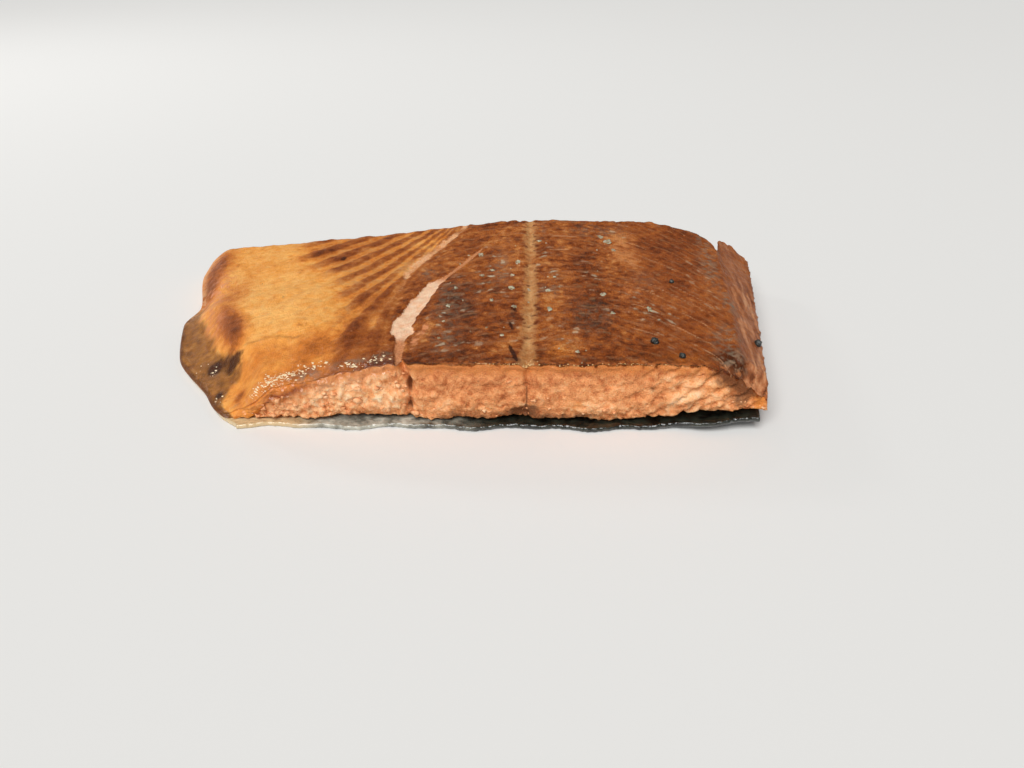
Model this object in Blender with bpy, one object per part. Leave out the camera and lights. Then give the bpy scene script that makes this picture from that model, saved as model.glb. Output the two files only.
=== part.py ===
"""A portion of hot smoked salmon: the flesh, with a few grains of pepper on it, and the skin under it.

The portion is a crosswise cut of one side of the fish, lying on its skin. X runs from the thin belly edge
to the thick dorsal edge, Y from the front cut to the back cut, and Z up. Sizes are millimetres, measured
from the middle of the front cut on the table. place() turns them into metres about the middle of the
portion's footprint, where the origin is.
"""

import bmesh
import bpy
import numpy as np
from mathutils import Vector, noise

MM = 0.001
FOOTPRINT_MIDDLE_X = -8.6
FOOTPRINT_MIDDLE_Y = 58.95

# The outline on the table.
BELLY_FRONT_X = -81.0
BELLY_BACK_X = -117.8
BELLY_SWING = 27.0  # how soon behind the front cut the belly edge has swung out
BELLY_NOTCH = 4.5  # how far it steps in behind the flap
BELLY_FLATTER = 3.5  # and how far it keeps inside the plain curve along the front of the flap
DORSAL_FRONT_X = 82.0
DORSAL_SLANT = 0.18
DEPTH = 118.0
BELLY_SHORTER = 7.0  # how much less deep the belly half is
CORNER_START_X = 54.0  # the back cut rounds off from here to the notch
CORNER_DROP = 27.0
NOTCH_X = 84.0
NOTCH_DEPTH = 20.0
STRIP_TIP_SLANT = 11.0  # how much further back the torn strip reaches beside the notch than at its edge

# The thickness.
FRONT_THICKNESS = 22.6
BACK_THICKNESS = 24.0
FRONT_RISE_WIDTH = 56.0  # from the belly edge to full thickness
BACK_RISE_WIDTH = 128.0
SHOULDER_THICKNESS = 12.0  # top of the short slope above the belly edge
SHOULDER_WIDTH = 10.0
THIN_EDGE = 3.0  # the belly edge at the front, and what it gains at the back
EDGE_GAIN = 4.0
FLAP_RISE = 2.0
CORNER_ROLL_WIDTH = 9.0  # the smoked top rolls down over the front dorsal corner
CORNER_ROLL_DEPTH = 7.5
STRIP_FALL = 6.5  # the torn strip along the dorsal edge slopes down this far
STRIP_STEP_FRONT = 0.6
STRIP_STEP_BACK = 3.2

# The skin, and how the flesh lies on it.
SKIN_THICKNESS = 1.5
SKIN_CURL_HEIGHT = 3.5
SKIN_CURL_WIDTH = 42.0
SKIN_BEHIND_BELLY = 0.6
SKIN_BEHIND_DORSAL = 1.0
SKIN_BEHIND_BACK = 1.2
CUT_LIFT_REACH = 7.0  # how far in from a cut the flesh is lifted off the skin
CUT_LIFT = 1.1
CLEARANCE = 0.3

# Lines along the fish, as (y, x) points, and widths, as (y, width).
GAPE_LINE = ((0, -30), (14, -31), (24, -31), (42, -27), (63, -21), (78, -13), (92, -6), (118, 4))
GAPE_WIDTH = ((0, 2.0), (10, 3.0), (22, 6.0), (36, 6.5), (48, 4.0), (62, 1.6), (118, 1.0))
UPPER_GAPE_LINE = ((48, -35), (75, -33), (83, -29), (94, -24), (110, -16), (118, -13))
SPINE_LINE = ((0, 8), (11, 9), (30, 10), (53, 11), (80, 12), (118, 13))
CREST_LINE = ((0, 73), (22, 76), (40, 78), (63, 80.5), (81, 82.5), (97, 84), (118, 85))
FLAP_WIDTH = ((0, 4), (10, 12), (30, 16), (46, 12), (60, 7), (74, 0))
SPINE_WIDTH = 2.8
CRACK_LINE = ((5, -27.5), (10, -27), (15, -26.2), (22, -29.2))  # (z, x) on the front cut

# Relief.
SEPTA_DEPTH = 0.22
SEPTA_FROM_X = -92
SEPTA_TO_X = -33
GAPE_DEPTH = 0.8
UPPER_GAPE_DEPTH = 0.5
SPINE_DEPTH = 0.7
PELLICLE_LUMPS = ((0.28, 9.0, 3), (0.22, 3.5, 5))  # height, size across and seed
CUT_LEAN = 1.6
CUT_CRUMBS = (0.9, 4.2)  # depth and size across
CRACK_DEPTH = 3.4
CRACK_WIDTH = 3.0
SEAM_DEPTH = 1.2
SEAM_X = 8.6
HOLLOW_DEPTH = 1.8
FLAKE_DEPTH = 0.9
FLAKE_SPACING = 5.2
DORSAL_STREAKS = 0.7
DORSAL_LEAN = 0.12

# The block's grid: how many columns lie between its key lines, and how many rows and layers it has.
FLESH_COLUMNS = (8, 26, 3, 17, 3, 23, 7)
FLESH_ROWS = 34
FLESH_LAYERS = 8
ROW_CROWDING = 0.09  # how much closer the rows lie at the two cuts
SKIN_COLUMNS = 44
SKIN_ROWS = 16
FLAT_ANGLE = 0.02  # radians between faces that count as one plane
SETTLING_ROUNDS = 3  # x, y and z depend on each other, and settle in this many rounds

PEPPER_GRAINS = ((49, 16, 1.3), (56, 7, 1.0), (61.5, 60, 0.8), (84.5, 25, 1.2))  # x, y and radius
PEPPER_PROUD = 0.35
PEPPER_UNEVEN = 0.35

FLESH_COLOUR = (0.50, 0.20, 0.09, 1.0)
SKIN_COLOUR = (0.09, 0.09, 0.07, 1.0)


def ease(low, high, value):
    """0 at low, 1 at high, smooth between."""
    t = np.clip((value - low) / (high - low), 0.0, 1.0)
    return t * t * (3.0 - 2.0 * t)


def along(points, y):
    """The value of a line given by its (y, value) points, with its corners softened."""
    ys, values = zip(*points)
    return sum(np.interp(y + step, ys, values) for step in (-4, 0, 4)) / 3


def near(distance, reach):
    """1 on a line, falling away to either side."""
    return np.exp(-((distance / reach) ** 2))


def lumps(x, y, z, size, seed):
    """Smooth unevenness between about -1 and 1, with lumps of this size."""
    shift = Vector((seed, 2.7 * seed, -1.3 * seed))
    points = zip(np.ravel(x) / size, np.ravel(y) / size, np.ravel(z) / size)
    found = [noise.fractal(Vector(point) + shift, 0.9, 2.1, 2) for point in points]
    return np.reshape(found, np.shape(x))


def belly_edge(y):
    notch = BELLY_NOTCH * ease(58, 70, y) * (1 - ease(70, 98, y))
    flatter = BELLY_FLATTER * ease(3, 17, y) * (1 - ease(17, 38, y))
    swing = (BELLY_FRONT_X - BELLY_BACK_X) * np.exp(-np.maximum(y, 0) / BELLY_SWING)
    return BELLY_BACK_X + swing + notch + flatter


def dorsal_edge(y):
    return DORSAL_FRONT_X + DORSAL_SLANT * y


def back_cut(x):
    """The back cut's y: nearly straight, then rounding off to a notch between the top and the dorsal strip."""
    straight = DEPTH + 1 - BELLY_SHORTER * (1 - ease(-70, 5, x))
    round_part = np.clip((x - CORNER_START_X) / (NOTCH_X - CORNER_START_X), 0, 1)
    corner = CORNER_DROP * (1 - np.sqrt(1 - round_part**2))
    strip = NOTCH_DEPTH * ease(NOTCH_X, NOTCH_X + 7, x) - STRIP_TIP_SLANT * ease(94, 101, x)
    return straight - corner + strip


def key_lines(y):
    """The lines that the grid's columns follow, from the belly edge to the dorsal edge."""
    shoulder = belly_edge(y) + SHOULDER_WIDTH + 0.7 * along(FLAP_WIDTH, y)
    gape = along(GAPE_LINE, y)
    gape_half = along(GAPE_WIDTH, y) / 2
    spine = along(SPINE_LINE, y)
    return (
        belly_edge(y),
        shoulder,
        gape - gape_half,
        gape + gape_half,
        spine - SPINE_WIDTH / 2,
        spine + SPINE_WIDTH / 2,
        along(CREST_LINE, y),
        dorsal_edge(y),
    )


def septum_phase(x, y):
    """Counts the sheets between the muscle blocks of the belly.

    The sheets are the curves x = 0.425 y - 67.6 + fan exp(-0.02 y): nearly parallel to the gape at the
    front, and fanning out towards the belly edge at the back, each 0.7 times as far on as the one before.
    """
    fan = (x + 67.6 - 0.425 * y) * np.exp(0.02 * y)
    return np.log(np.maximum(60 - fan, 8) / 215) / np.log(0.7)


def skin_underside(x, y):
    """The skin lies flat, and curls up off the table along the dorsal edge."""
    return SKIN_CURL_HEIGHT * (1 - ease(0, SKIN_CURL_WIDTH, dorsal_edge(y) - x))


def flesh_underside(x, y):
    """Rests on the skin, and is ragged and lifted off it along both cuts."""
    ragged = CUT_LIFT * (1 + 0.7 * np.sin(x / 4.3) * np.sin(x / 9.1 + 1))
    ragged = ragged + 0.9 * near(x + 37, 5) + 0.9 * ease(40, 55, x)
    ragged = ragged * ease(0, 12, x - belly_edge(y))
    from_front = ease(2, 2 + CUT_LIFT_REACH, y)
    from_back = ease(2, 2 + CUT_LIFT_REACH, back_cut(x) - y)
    return skin_underside(x, y) + SKIN_THICKNESS + CLEARANCE + ragged * (2 - from_front - from_back)


def belly_shoulder(inward, y, back):
    """The height above the belly edge: a thin flap at the front, then a short slope up to the shoulder."""
    flap = along(FLAP_WIDTH, y)
    edge = THIN_EDGE + EDGE_GAIN * ease(35, 85, y)
    flap_top = edge + FLAP_RISE * ease(0, 1, inward / np.maximum(flap, 4)) * (1 - ease(55, 80, y))
    up = np.clip((inward - 0.75 * flap) / SHOULDER_WIDTH, 0, 1)
    hollow_slope = ease(0, 1, up)
    round_slope = 1 - (1 - up) ** 2
    return flap_top + (SHOULDER_THICKNESS - flap_top) * (hollow_slope * (1 - back) + round_slope * back)


def plain_top(x, y):
    """The height of the top without its relief."""
    back = np.clip(y / DEPTH, 0, 1)
    inward = np.maximum(x - belly_edge(y), 0)
    front_rise = (FRONT_THICKNESS - SHOULDER_THICKNESS) * ease(0, FRONT_RISE_WIDTH, inward)
    level = ease(BACK_RISE_WIDTH - 18, BACK_RISE_WIDTH + 17, inward)
    slant = inward / BACK_RISE_WIDTH * (1 - level) + level
    back_rise = (BACK_THICKNESS - SHOULDER_THICKNESS) * slant
    top = belly_shoulder(inward, y, back) + front_rise * (1 - back) + back_rise * back
    at_front = 1 - ease(-1, CORNER_ROLL_WIDTH, y)
    top = top - CORNER_ROLL_DEPTH * ease(60, 81, x) * at_front
    crest = along(CREST_LINE, y)
    across_strip = np.clip((x - crest) / (dorsal_edge(y) - crest), 0, 1)
    step = STRIP_STEP_FRONT + (STRIP_STEP_BACK - STRIP_STEP_FRONT) * ease(60, 105, y)
    fall = STRIP_FALL - 2.5 * at_front
    return top - step * ease(0, 0.25, across_strip) - fall * across_strip**1.2


def flesh_top(x, y):
    """The top with its relief: gapes, the groove over the spine, the septa and the uneven pellicle."""
    from_gape = np.abs(x - along(GAPE_LINE, y)) / (along(GAPE_WIDTH, y) / 2)
    gape = GAPE_DEPTH * (1 - ease(0.6, 1.15, from_gape)) * (1 - 0.6 * ease(60, 95, y))
    upper_gape = UPPER_GAPE_DEPTH * near(x - along(UPPER_GAPE_LINE, y), 1.6) * ease(44, 62, y)
    spine = SPINE_DEPTH * near(x - along(SPINE_LINE, y), SPINE_WIDTH / 2) * (1.9 - 0.9 * ease(0, 7, y))
    septa_zone = ease(SEPTA_FROM_X, SEPTA_FROM_X + 22, x) * (1 - ease(SEPTA_TO_X - 5, SEPTA_TO_X, x))
    septa = SEPTA_DEPTH * np.cos(2 * np.pi * septum_phase(x, y)) * septa_zone * ease(4, 20, y)
    rough = sum(height * lumps(x, y, 0 * x, size, seed) for height, size, seed in PELLICLE_LUMPS)
    return plain_top(x, y) - gape - upper_gape - spine - septa + rough * ease(0, 10, x - belly_edge(y))


def cut_relief(x, z, seed):
    """How far the crumbly, flaky flesh of a cut stands back from its flat plane."""
    crumb_depth, crumb_size = CUT_CRUMBS
    crumbs = crumb_depth * (0.55 + lumps(x, 0 * x + seed, z, crumb_size, seed))
    # Flakes lie level at the belly, and overlap on a slant towards the dorsal edge.
    slant = ease(20, 60, x)
    flake = (z * (1 - 0.2 * slant) - (x - 40) * 0.62 * slant) / FLAKE_SPACING
    flakes = FLAKE_DEPTH * (flake % 1.0) * (0.35 + 0.65 * slant)
    seam = SEAM_DEPTH * near(x - SEAM_X, 1.2) * ease(3, 20, z)
    hollow = HOLLOW_DEPTH * near(x - SEAM_X + 2, 3.2) * (1 - ease(4, 9, z))
    lean = CUT_LEAN * (1 - ease(2, 11, z))
    return crumbs + flakes + seam + hollow + lean


def front_cut(x, z):
    """The front cut's y, with its belly corner set back and a dark crack under the gape."""
    heights, middles = zip(*CRACK_LINE)
    from_crack = x - np.interp(z, heights, middles)
    crack = CRACK_DEPTH * near(from_crack, CRACK_WIDTH / 2) * (0.45 + 0.55 * np.abs(np.cos(0.42 * z)))
    corner = 4 * ease(-69, -83, x) * ease(2, 11, z)
    return 0.4 + corner + crack + cut_relief(x, z, 11)


def block(columns, rows, layers):
    """A unit cube cut into a grid of this many columns, rows and layers on its six sides."""
    mesh = bmesh.new()
    bmesh.ops.create_cube(mesh, size=1.0)
    bmesh.ops.translate(mesh, verts=mesh.verts, vec=(0.5, 0.5, 0.5))
    for axis, count in enumerate((columns, rows, layers)):
        edges = [e for e in mesh.edges if abs((e.verts[0].co - e.verts[1].co)[axis]) > 0.5]
        if count > 1:
            bmesh.ops.subdivide_edges(mesh, edges=edges, cuts=count - 1, use_grid_fill=True)
    return mesh


def join_flat_faces(mesh, sides):
    """Joins the nearly level faces that lie in one plane, on the sides given: -1 underneath, 1 on top."""
    mesh.normal_update()
    level = {face for face in mesh.faces if max(face.normal.z * side for side in sides) > 0.9}
    edges = [edge for edge in mesh.edges if all(face in level for face in edge.link_faces)]
    verts = [vertex for vertex in mesh.verts if all(face in level for face in vertex.link_faces)]
    bmesh.ops.dissolve_limit(mesh, angle_limit=FLAT_ANGLE, verts=verts, edges=edges)


def coordinates(mesh):
    return np.array([vertex.co for vertex in mesh.verts]).T


def place(mesh, x, y, z):
    """Moves the vertices to these places, in metres about the middle of the footprint."""
    for vertex, across, deep, high in zip(mesh.verts, x, y, z):
        vertex.co = Vector((across - FOOTPRINT_MIDDLE_X, deep - FOOTPRINT_MIDDLE_Y, high)) * MM


def make_object(name, mesh, colour, roughness):
    material = bpy.data.materials.new(name)
    material.use_nodes = True
    shader = material.node_tree.nodes["Principled BSDF"]
    shader.inputs["Base Color"].default_value = colour
    shader.inputs["Roughness"].default_value = roughness
    shader.inputs["Metallic"].default_value = 0.0
    data = bpy.data.meshes.new(name)
    mesh.to_mesh(data)
    mesh.free()
    data.materials.append(material)
    made = bpy.data.objects.new(name, data)
    bpy.context.scene.collection.objects.link(made)
    return made


def column_x(position, y):
    """X of a column, whose position is a number of key lines plus the part of the way to the next."""
    lines = np.array(key_lines(y))
    left = np.minimum(position.astype(int), len(lines) - 2)
    part = position - left
    each = np.arange(len(y))
    return lines[left, each] * (1 - part) + lines[left + 1, each] * part


def make_flesh():
    total = sum(FLESH_COLUMNS)
    mesh = block(total, FLESH_ROWS, FLESH_LAYERS)
    u, v, w = coordinates(mesh)
    line_starts = np.cumsum((0,) + FLESH_COLUMNS)
    position = np.interp(u * total, line_starts, np.arange(len(line_starts)))
    v = v - ROW_CROWDING * np.sin(2 * np.pi * v)
    front_x = column_x(position, 0 * v)
    y = v * DEPTH
    for _ in range(SETTLING_ROUNDS):
        x = column_x(position, y)
        low = flesh_underside(x, y)
        z = low + w * (flesh_top(x, y) - low)
        front = front_cut(front_x, z)
        y = front + v * (back_cut(x) - cut_relief(x, z, 23) - front)
    # The dorsal wall leans and is streaked, and the belly edge is rounded.
    dorsal_wall = ease(6.5, 7, position)
    streaks = DORSAL_STREAKS * lumps(0 * x, y / 2.2, z / 7, 1, 31)
    belly_round = (1 - ease(0, 0.12, position)) * 2.0 * w * (1 - w)
    x = x + dorsal_wall * (DORSAL_LEAN * (14 - z) + streaks) - belly_round
    place(mesh, x, y, z)
    join_flat_faces(mesh, (-1,))
    return make_object("flesh", mesh, FLESH_COLOUR, 0.45)


def make_skin():
    mesh = block(SKIN_COLUMNS, SKIN_ROWS, 1)
    u, v, w = coordinates(mesh)
    y = v * DEPTH
    for _ in range(SETTLING_ROUNDS):
        left = belly_edge(y) + SKIN_BEHIND_BELLY
        right = dorsal_edge(y) - SKIN_BEHIND_DORSAL
        x = left + u * (right - left)
        front = 0.7 * np.sin(x / 6.1) + 0.5 * np.sin(x / 2.9 + 1)
        y = front + v * (back_cut(x) - SKIN_BEHIND_BACK - front)
    place(mesh, x, y, skin_underside(x, y) + w * SKIN_THICKNESS)
    join_flat_faces(mesh, (-1, 1))
    return make_object("skin", mesh, SKIN_COLOUR, 0.3)


def make_pepper(x, y, radius, seed):
    """One cracked grain, sunk by a third into the top."""
    mesh = bmesh.new()
    bmesh.ops.create_icosphere(mesh, subdivisions=1, radius=1.0)
    u, v, w = coordinates(mesh)
    uneven = radius * (1 + PEPPER_UNEVEN * lumps(u, v, w, 0.8, seed))
    height = flesh_top(np.array([float(x)]), np.array([float(y)]))[0] + PEPPER_PROUD * radius
    place(mesh, x + u * uneven, y + v * uneven, height + w * uneven)
    return make_object(f"pepper_{seed}", mesh, FLESH_COLOUR, 0.5)


def fuse(body, pieces):
    """One Boolean union of the body with all the pieces, applied, with the pieces then removed."""
    group = bpy.data.collections.new("toppings")
    bpy.context.scene.collection.children.link(group)
    for piece in pieces:
        bpy.context.scene.collection.objects.unlink(piece)
        group.objects.link(piece)
    union = body.modifiers.new("toppings", "BOOLEAN")
    union.operation = "UNION"
    union.operand_type = "COLLECTION"
    union.collection = group
    graph = bpy.context.evaluated_depsgraph_get()
    fused = bpy.data.meshes.new_from_object(body.evaluated_get(graph))
    body.modifiers.remove(union)
    body.data = fused
    for piece in pieces:
        bpy.data.objects.remove(piece)
    bpy.data.collections.remove(group)


for old in list(bpy.data.objects):
    bpy.data.objects.remove(old)
make_skin()
fuse(make_flesh(), [make_pepper(*grain, seed) for seed, grain in enumerate(PEPPER_GRAINS)])
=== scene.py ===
import math

import bmesh
import bpy
import numpy as np
from mathutils import Matrix, Vector, noise


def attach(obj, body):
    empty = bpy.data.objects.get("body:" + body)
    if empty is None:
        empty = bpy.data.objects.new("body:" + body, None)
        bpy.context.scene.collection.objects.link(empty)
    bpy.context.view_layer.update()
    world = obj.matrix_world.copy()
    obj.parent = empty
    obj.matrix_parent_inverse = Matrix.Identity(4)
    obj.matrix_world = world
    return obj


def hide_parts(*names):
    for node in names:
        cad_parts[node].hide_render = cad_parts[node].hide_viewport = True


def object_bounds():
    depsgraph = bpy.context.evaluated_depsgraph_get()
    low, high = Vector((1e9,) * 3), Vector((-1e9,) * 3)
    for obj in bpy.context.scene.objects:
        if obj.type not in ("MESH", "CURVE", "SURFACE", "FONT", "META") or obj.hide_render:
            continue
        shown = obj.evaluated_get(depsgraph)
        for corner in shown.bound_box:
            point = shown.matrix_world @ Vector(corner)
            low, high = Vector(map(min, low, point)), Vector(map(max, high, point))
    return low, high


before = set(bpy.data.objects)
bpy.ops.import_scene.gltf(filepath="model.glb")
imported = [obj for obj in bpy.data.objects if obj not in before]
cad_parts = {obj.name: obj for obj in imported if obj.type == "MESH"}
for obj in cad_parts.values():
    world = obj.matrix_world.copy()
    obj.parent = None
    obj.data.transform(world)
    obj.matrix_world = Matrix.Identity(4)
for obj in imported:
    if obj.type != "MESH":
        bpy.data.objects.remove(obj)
solid_low, solid_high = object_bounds()

# ---- Table, light and camera ----
# The portion lies on a plain pale table: soft white light from a large window in front, some more from
# all sides of the room, and two small lamps, at the left and behind, that make the oil glint.
MM = 0.001
FOOTPRINT_MIDDLE_X = -8.6  # millimetres from the middle of the front cut, like all places on the fish
FOOTPRINT_MIDDLE_Y = 58.95
TABLE_SIDE = 8.0  # metres, like the places and sides of the lamps
TABLE_DROP = 0.0001
ROOM_BRIGHTNESS = 0.17
CAMERA_PLACE = (-1.7, -224.5, 153.3)
CAMERA_LOOKS_DOWN = 31.3
CAMERA_TURNS_RIGHT = 1.45
CAMERA_ROLL = 1.255
FOCAL_LENGTH = 30.75
WINDOW_COMES_FROM = (-0.35, -0.95, 1.25)
WINDOW_SPREAD = 42.0
WINDOW_STRENGTH = 3.0
GLINT_LAMP_PLACE = (-0.53, 0.49, 0.38)
GLINT_LAMP_SIDE = 0.10
GLINT_LAMP_WATTS = 0.45
SHEEN_LAMP_PLACE = (-0.05, 0.62, 0.55)
SHEEN_LAMP_SIDE = 0.09
SHEEN_LAMP_WATTS = 0.15


def linear(red, green, blue):
    """A colour given on the usual 0 to 255 scale, as the shaders want it."""
    shares = (red / 255, green / 255, blue / 255)
    return (*(((share + 0.055) / 1.055) ** 2.4 if share > 0.04 else share / 12.92 for share in shares), 1.0)


def fill(node, inputs):
    """Sets inputs of a shader node. Each is a value, or an output of another node."""
    for key, value in inputs.items():
        if isinstance(value, bpy.types.NodeSocket):
            node.id_data.links.new(value, node.inputs[key])
        else:
            node.inputs[key].default_value = value


def add_node(tree, kind, inputs=None, **settings):
    """A shader node of this kind, with its inputs and settings."""
    made = tree.nodes.new("ShaderNode" + kind)
    for name, value in settings.items():
        setattr(made, name, value)
    fill(made, inputs or {})
    return made


def new_material(name):
    """An empty material, with its node tree and its Principled shader."""
    material = bpy.data.materials.new(name)
    material.use_nodes = True
    return material, material.node_tree, material.node_tree.nodes["Principled BSDF"]


def link_object(name, mesh, material):
    mesh.materials.append(material)
    made = bpy.data.objects.new(name, mesh)
    bpy.context.scene.collection.objects.link(made)
    return made


table_mesh = bmesh.new()
bmesh.ops.create_grid(table_mesh, x_segments=1, y_segments=1, size=TABLE_SIDE / 2)
bmesh.ops.translate(table_mesh, verts=table_mesh.verts, vec=(0, 0, -TABLE_DROP))
table_data = bpy.data.meshes.new("table")
table_mesh.to_mesh(table_data)
table_mesh.free()
table_material, _, table_shader = new_material("pale_table")
fill(table_shader, {"Base Color": linear(236, 235, 232), "Roughness": 0.7})
link_object("table", table_data, table_material)

world = bpy.data.worlds.new("bright_room")
world.use_nodes = True
fill(world.node_tree.nodes["Background"], {"Color": (1, 1, 1, 1), "Strength": ROOM_BRIGHTNESS})
bpy.context.scene.world = world
bpy.context.scene.view_settings.view_transform = "Standard"


def add_lamp(name, kind, place, energy):
    """A lamp at this place that points at the middle of the table."""
    lamp_data = bpy.data.lights.new(name, kind)
    lamp_data.energy = energy
    lamp = bpy.data.objects.new(name, lamp_data)
    lamp.location = place
    lamp.rotation_euler = (-Vector(place)).to_track_quat("-Z", "Y").to_euler()
    bpy.context.scene.collection.objects.link(lamp)
    return lamp_data


add_lamp("window_light", "SUN", WINDOW_COMES_FROM, WINDOW_STRENGTH).angle = math.radians(WINDOW_SPREAD)
add_lamp("glint_lamp", "AREA", GLINT_LAMP_PLACE, GLINT_LAMP_WATTS).size = GLINT_LAMP_SIDE
add_lamp("sheen_lamp", "AREA", SHEEN_LAMP_PLACE, SHEEN_LAMP_WATTS).size = SHEEN_LAMP_SIDE

camera_data = bpy.data.cameras.new("camera")
camera_data.sensor_width = 36
camera_data.lens = FOCAL_LENGTH
camera_data.clip_start = 0.01
camera = bpy.data.objects.new("camera", camera_data)
camera.matrix_world = (
    Matrix.Translation((Vector(CAMERA_PLACE) - Vector((FOOTPRINT_MIDDLE_X, FOOTPRINT_MIDDLE_Y, 0))) * MM)
    @ Matrix.Rotation(math.radians(-CAMERA_TURNS_RIGHT), 4, "Z")
    @ Matrix.Rotation(math.radians(90 - CAMERA_LOOKS_DOWN), 4, "X")
    @ Matrix.Rotation(math.radians(CAMERA_ROLL), 4, "Z")
)
bpy.context.scene.collection.objects.link(camera)
bpy.context.scene.camera = camera

# ---- Skin ----
# The skin of the fish lies under the whole portion. It shows as a wet, dark, wavy band in front of the
# flesh, silver and then white with fat towards the belly, and it curls up along the dorsal edge.
BELLY_FRONT_X = -81.0
BELLY_BACK_X = -117.8
BELLY_SWING = 27.0
BELLY_NOTCH = 4.5
BELLY_FLATTER = 3.5
DORSAL_FRONT_X = 82.0
DORSAL_SLANT = 0.18
DEPTH = 118.0
BELLY_SHORTER = 7.0
CORNER_START_X = 54.0
CORNER_DROP = 27.0
NOTCH_X = 84.0
NOTCH_DEPTH = 20.0
STRIP_TIP_SLANT = 11.0
SKIN_THICKNESS = 1.5
SKIN_CURL_HEIGHT = 3.5
SKIN_CURL_WIDTH = 42.0
SKIN_BEHIND_BELLY = 0.6
SKIN_BEHIND_DORSAL = 1.0
SKIN_BEHIND_BACK = 1.2
SKIN_WAVES = ((0.7, 6.1, 0), (0.5, 2.9, 1))  # how far out, millimetres for each radian, and phase
FINE_WAVE = 0.35
RUFFLE_HEIGHT = 0.30
RUFFLE_WIDTH = 3.0
FRONT_EDGE_ROUND = 0.35
SILVER_FROM_TO_X = (0, -30)
FAT_FROM_TO_X = (-52, -68)
SKIN_COLUMNS = 420
SKIN_ROWS = 60
SKIN_LAYERS = 4
SKIN_ROW_CROWDING = 1.35  # more rows in front, where it shows
UNDERSIDE_KEEPS = 6
SETTLING_ROUNDS = 3  # x, y and z depend on each other, and settle in this many rounds


def ease(low, high, value):
    """0 at low, 1 at high, smooth between."""
    t = np.clip((value - low) / (high - low), 0.0, 1.0)
    return t * t * (3.0 - 2.0 * t)


def near(distance, reach):
    """1 on a line, falling away to either side."""
    return np.exp(-((distance / reach) ** 2))


def lumps(x, y, z, size, seed, octaves=2):
    """Smooth unevenness between about -1 and 1, with lumps of this size."""
    shift = Vector((seed, 2.7 * seed, -1.3 * seed))
    x, y, z = np.broadcast_arrays(x, y, z)
    points = zip(x.ravel() / size, y.ravel() / size, z.ravel() / size)
    found = [noise.fractal(Vector(point) + shift, 0.9, 2.1, octaves) for point in points]
    return np.reshape(found, x.shape)


def belly_edge(y):
    """It swings out behind the front cut, and steps in a little where the thin flap ends."""
    notch = BELLY_NOTCH * ease(58, 70, y) * (1 - ease(70, 98, y))
    flatter = BELLY_FLATTER * ease(3, 17, y) * (1 - ease(17, 38, y))
    swing = (BELLY_FRONT_X - BELLY_BACK_X) * np.exp(-np.maximum(y, 0) / BELLY_SWING)
    return BELLY_BACK_X + swing + notch + flatter


def dorsal_edge(y):
    return DORSAL_FRONT_X + DORSAL_SLANT * y


def back_cut(x):
    """The back cut's y: nearly straight, then rounding off to the notch before the dorsal strip."""
    straight = DEPTH + 1 - BELLY_SHORTER * (1 - ease(-70, 5, x))
    round_part = np.clip((x - CORNER_START_X) / (NOTCH_X - CORNER_START_X), 0, 1)
    corner = CORNER_DROP * (1 - np.sqrt(1 - round_part**2))
    strip = NOTCH_DEPTH * ease(NOTCH_X, NOTCH_X + 7, x) - STRIP_TIP_SLANT * ease(94, 101, x)
    return straight - corner + strip


def skin_underside(x, y):
    """The skin lies flat, and curls up off the table along the dorsal edge."""
    return SKIN_CURL_HEIGHT * (1 - ease(0, SKIN_CURL_WIDTH, dorsal_edge(y) - x))


def block(name, columns, rows, layers):
    """A unit cube cut into a grid of this many columns, rows and layers, as a mesh, with its coordinates.

    Its underside doesn't show, and keeps only every few lines of the grid.
    """
    cube = bmesh.new()
    bmesh.ops.create_cube(cube, size=1.0)
    bmesh.ops.translate(cube, verts=cube.verts, vec=(0.5, 0.5, 0.5))
    for axis, count in enumerate((columns, rows, layers)):
        edges = [e for e in cube.edges if abs((e.verts[0].co - e.verts[1].co)[axis]) > 0.5]
        bmesh.ops.subdivide_edges(cube, edges=edges, cuts=count - 1, use_grid_fill=True)
    cube.normal_update()
    extra = []
    for edge in cube.edges:
        if all(face.normal.z < -0.5 for face in edge.link_faces):
            start, end = (vertex.co for vertex in edge.verts)
            across = 1 if abs(start.x - end.x) > abs(start.y - end.y) else 0
            line = round(start[across] * (columns, rows)[across])
            if line % UNDERSIDE_KEEPS:
                extra.append(edge)
    bmesh.ops.dissolve_edges(cube, edges=extra, use_verts=True)
    mesh = bpy.data.meshes.new(name)
    cube.to_mesh(mesh)
    cube.free()
    found = np.zeros(len(mesh.vertices) * 3)
    mesh.vertices.foreach_get("co", found)
    return mesh, *found.reshape(-1, 3).T


def place(mesh, x, y, z):
    """Moves the vertices here, in metres about the footprint's middle and inside the solids' box."""
    at = np.stack((x - FOOTPRINT_MIDDLE_X, y - FOOTPRINT_MIDDLE_Y, z), axis=1) * MM
    at = np.clip(at, np.array(solid_low), np.array(solid_high))
    mesh.vertices.foreach_set("co", at.ravel())
    mesh.update()


def store(mesh, name, *values):
    """Keeps up to three values at each vertex as one vector attribute, for the material to read."""
    kept = np.zeros((len(mesh.vertices), 3), np.float32)
    for column, value in enumerate(values):
        kept[:, column] = value
    mesh.attributes.new(name, "FLOAT_VECTOR", "POINT").data.foreach_set("vector", kept.ravel())


def read(tree, name):
    """The three values stored at each vertex under this name."""
    stored = add_node(tree, "Attribute", attribute_name=name).outputs["Vector"]
    return add_node(tree, "SeparateXYZ", {"Vector": stored}).outputs


def blend_colour(amount, below, over):
    return add_node(amount.id_data, "Mix", {0: amount, 6: below, 7: over}, data_type="RGBA").outputs[2]


def relief(height, strength, distance, **others):
    """The normals of a surface with this relief."""
    inputs = {"Height": height, "Strength": strength, "Distance": distance, **others}
    return add_node(height.id_data, "Bump", inputs).outputs["Normal"]


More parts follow.
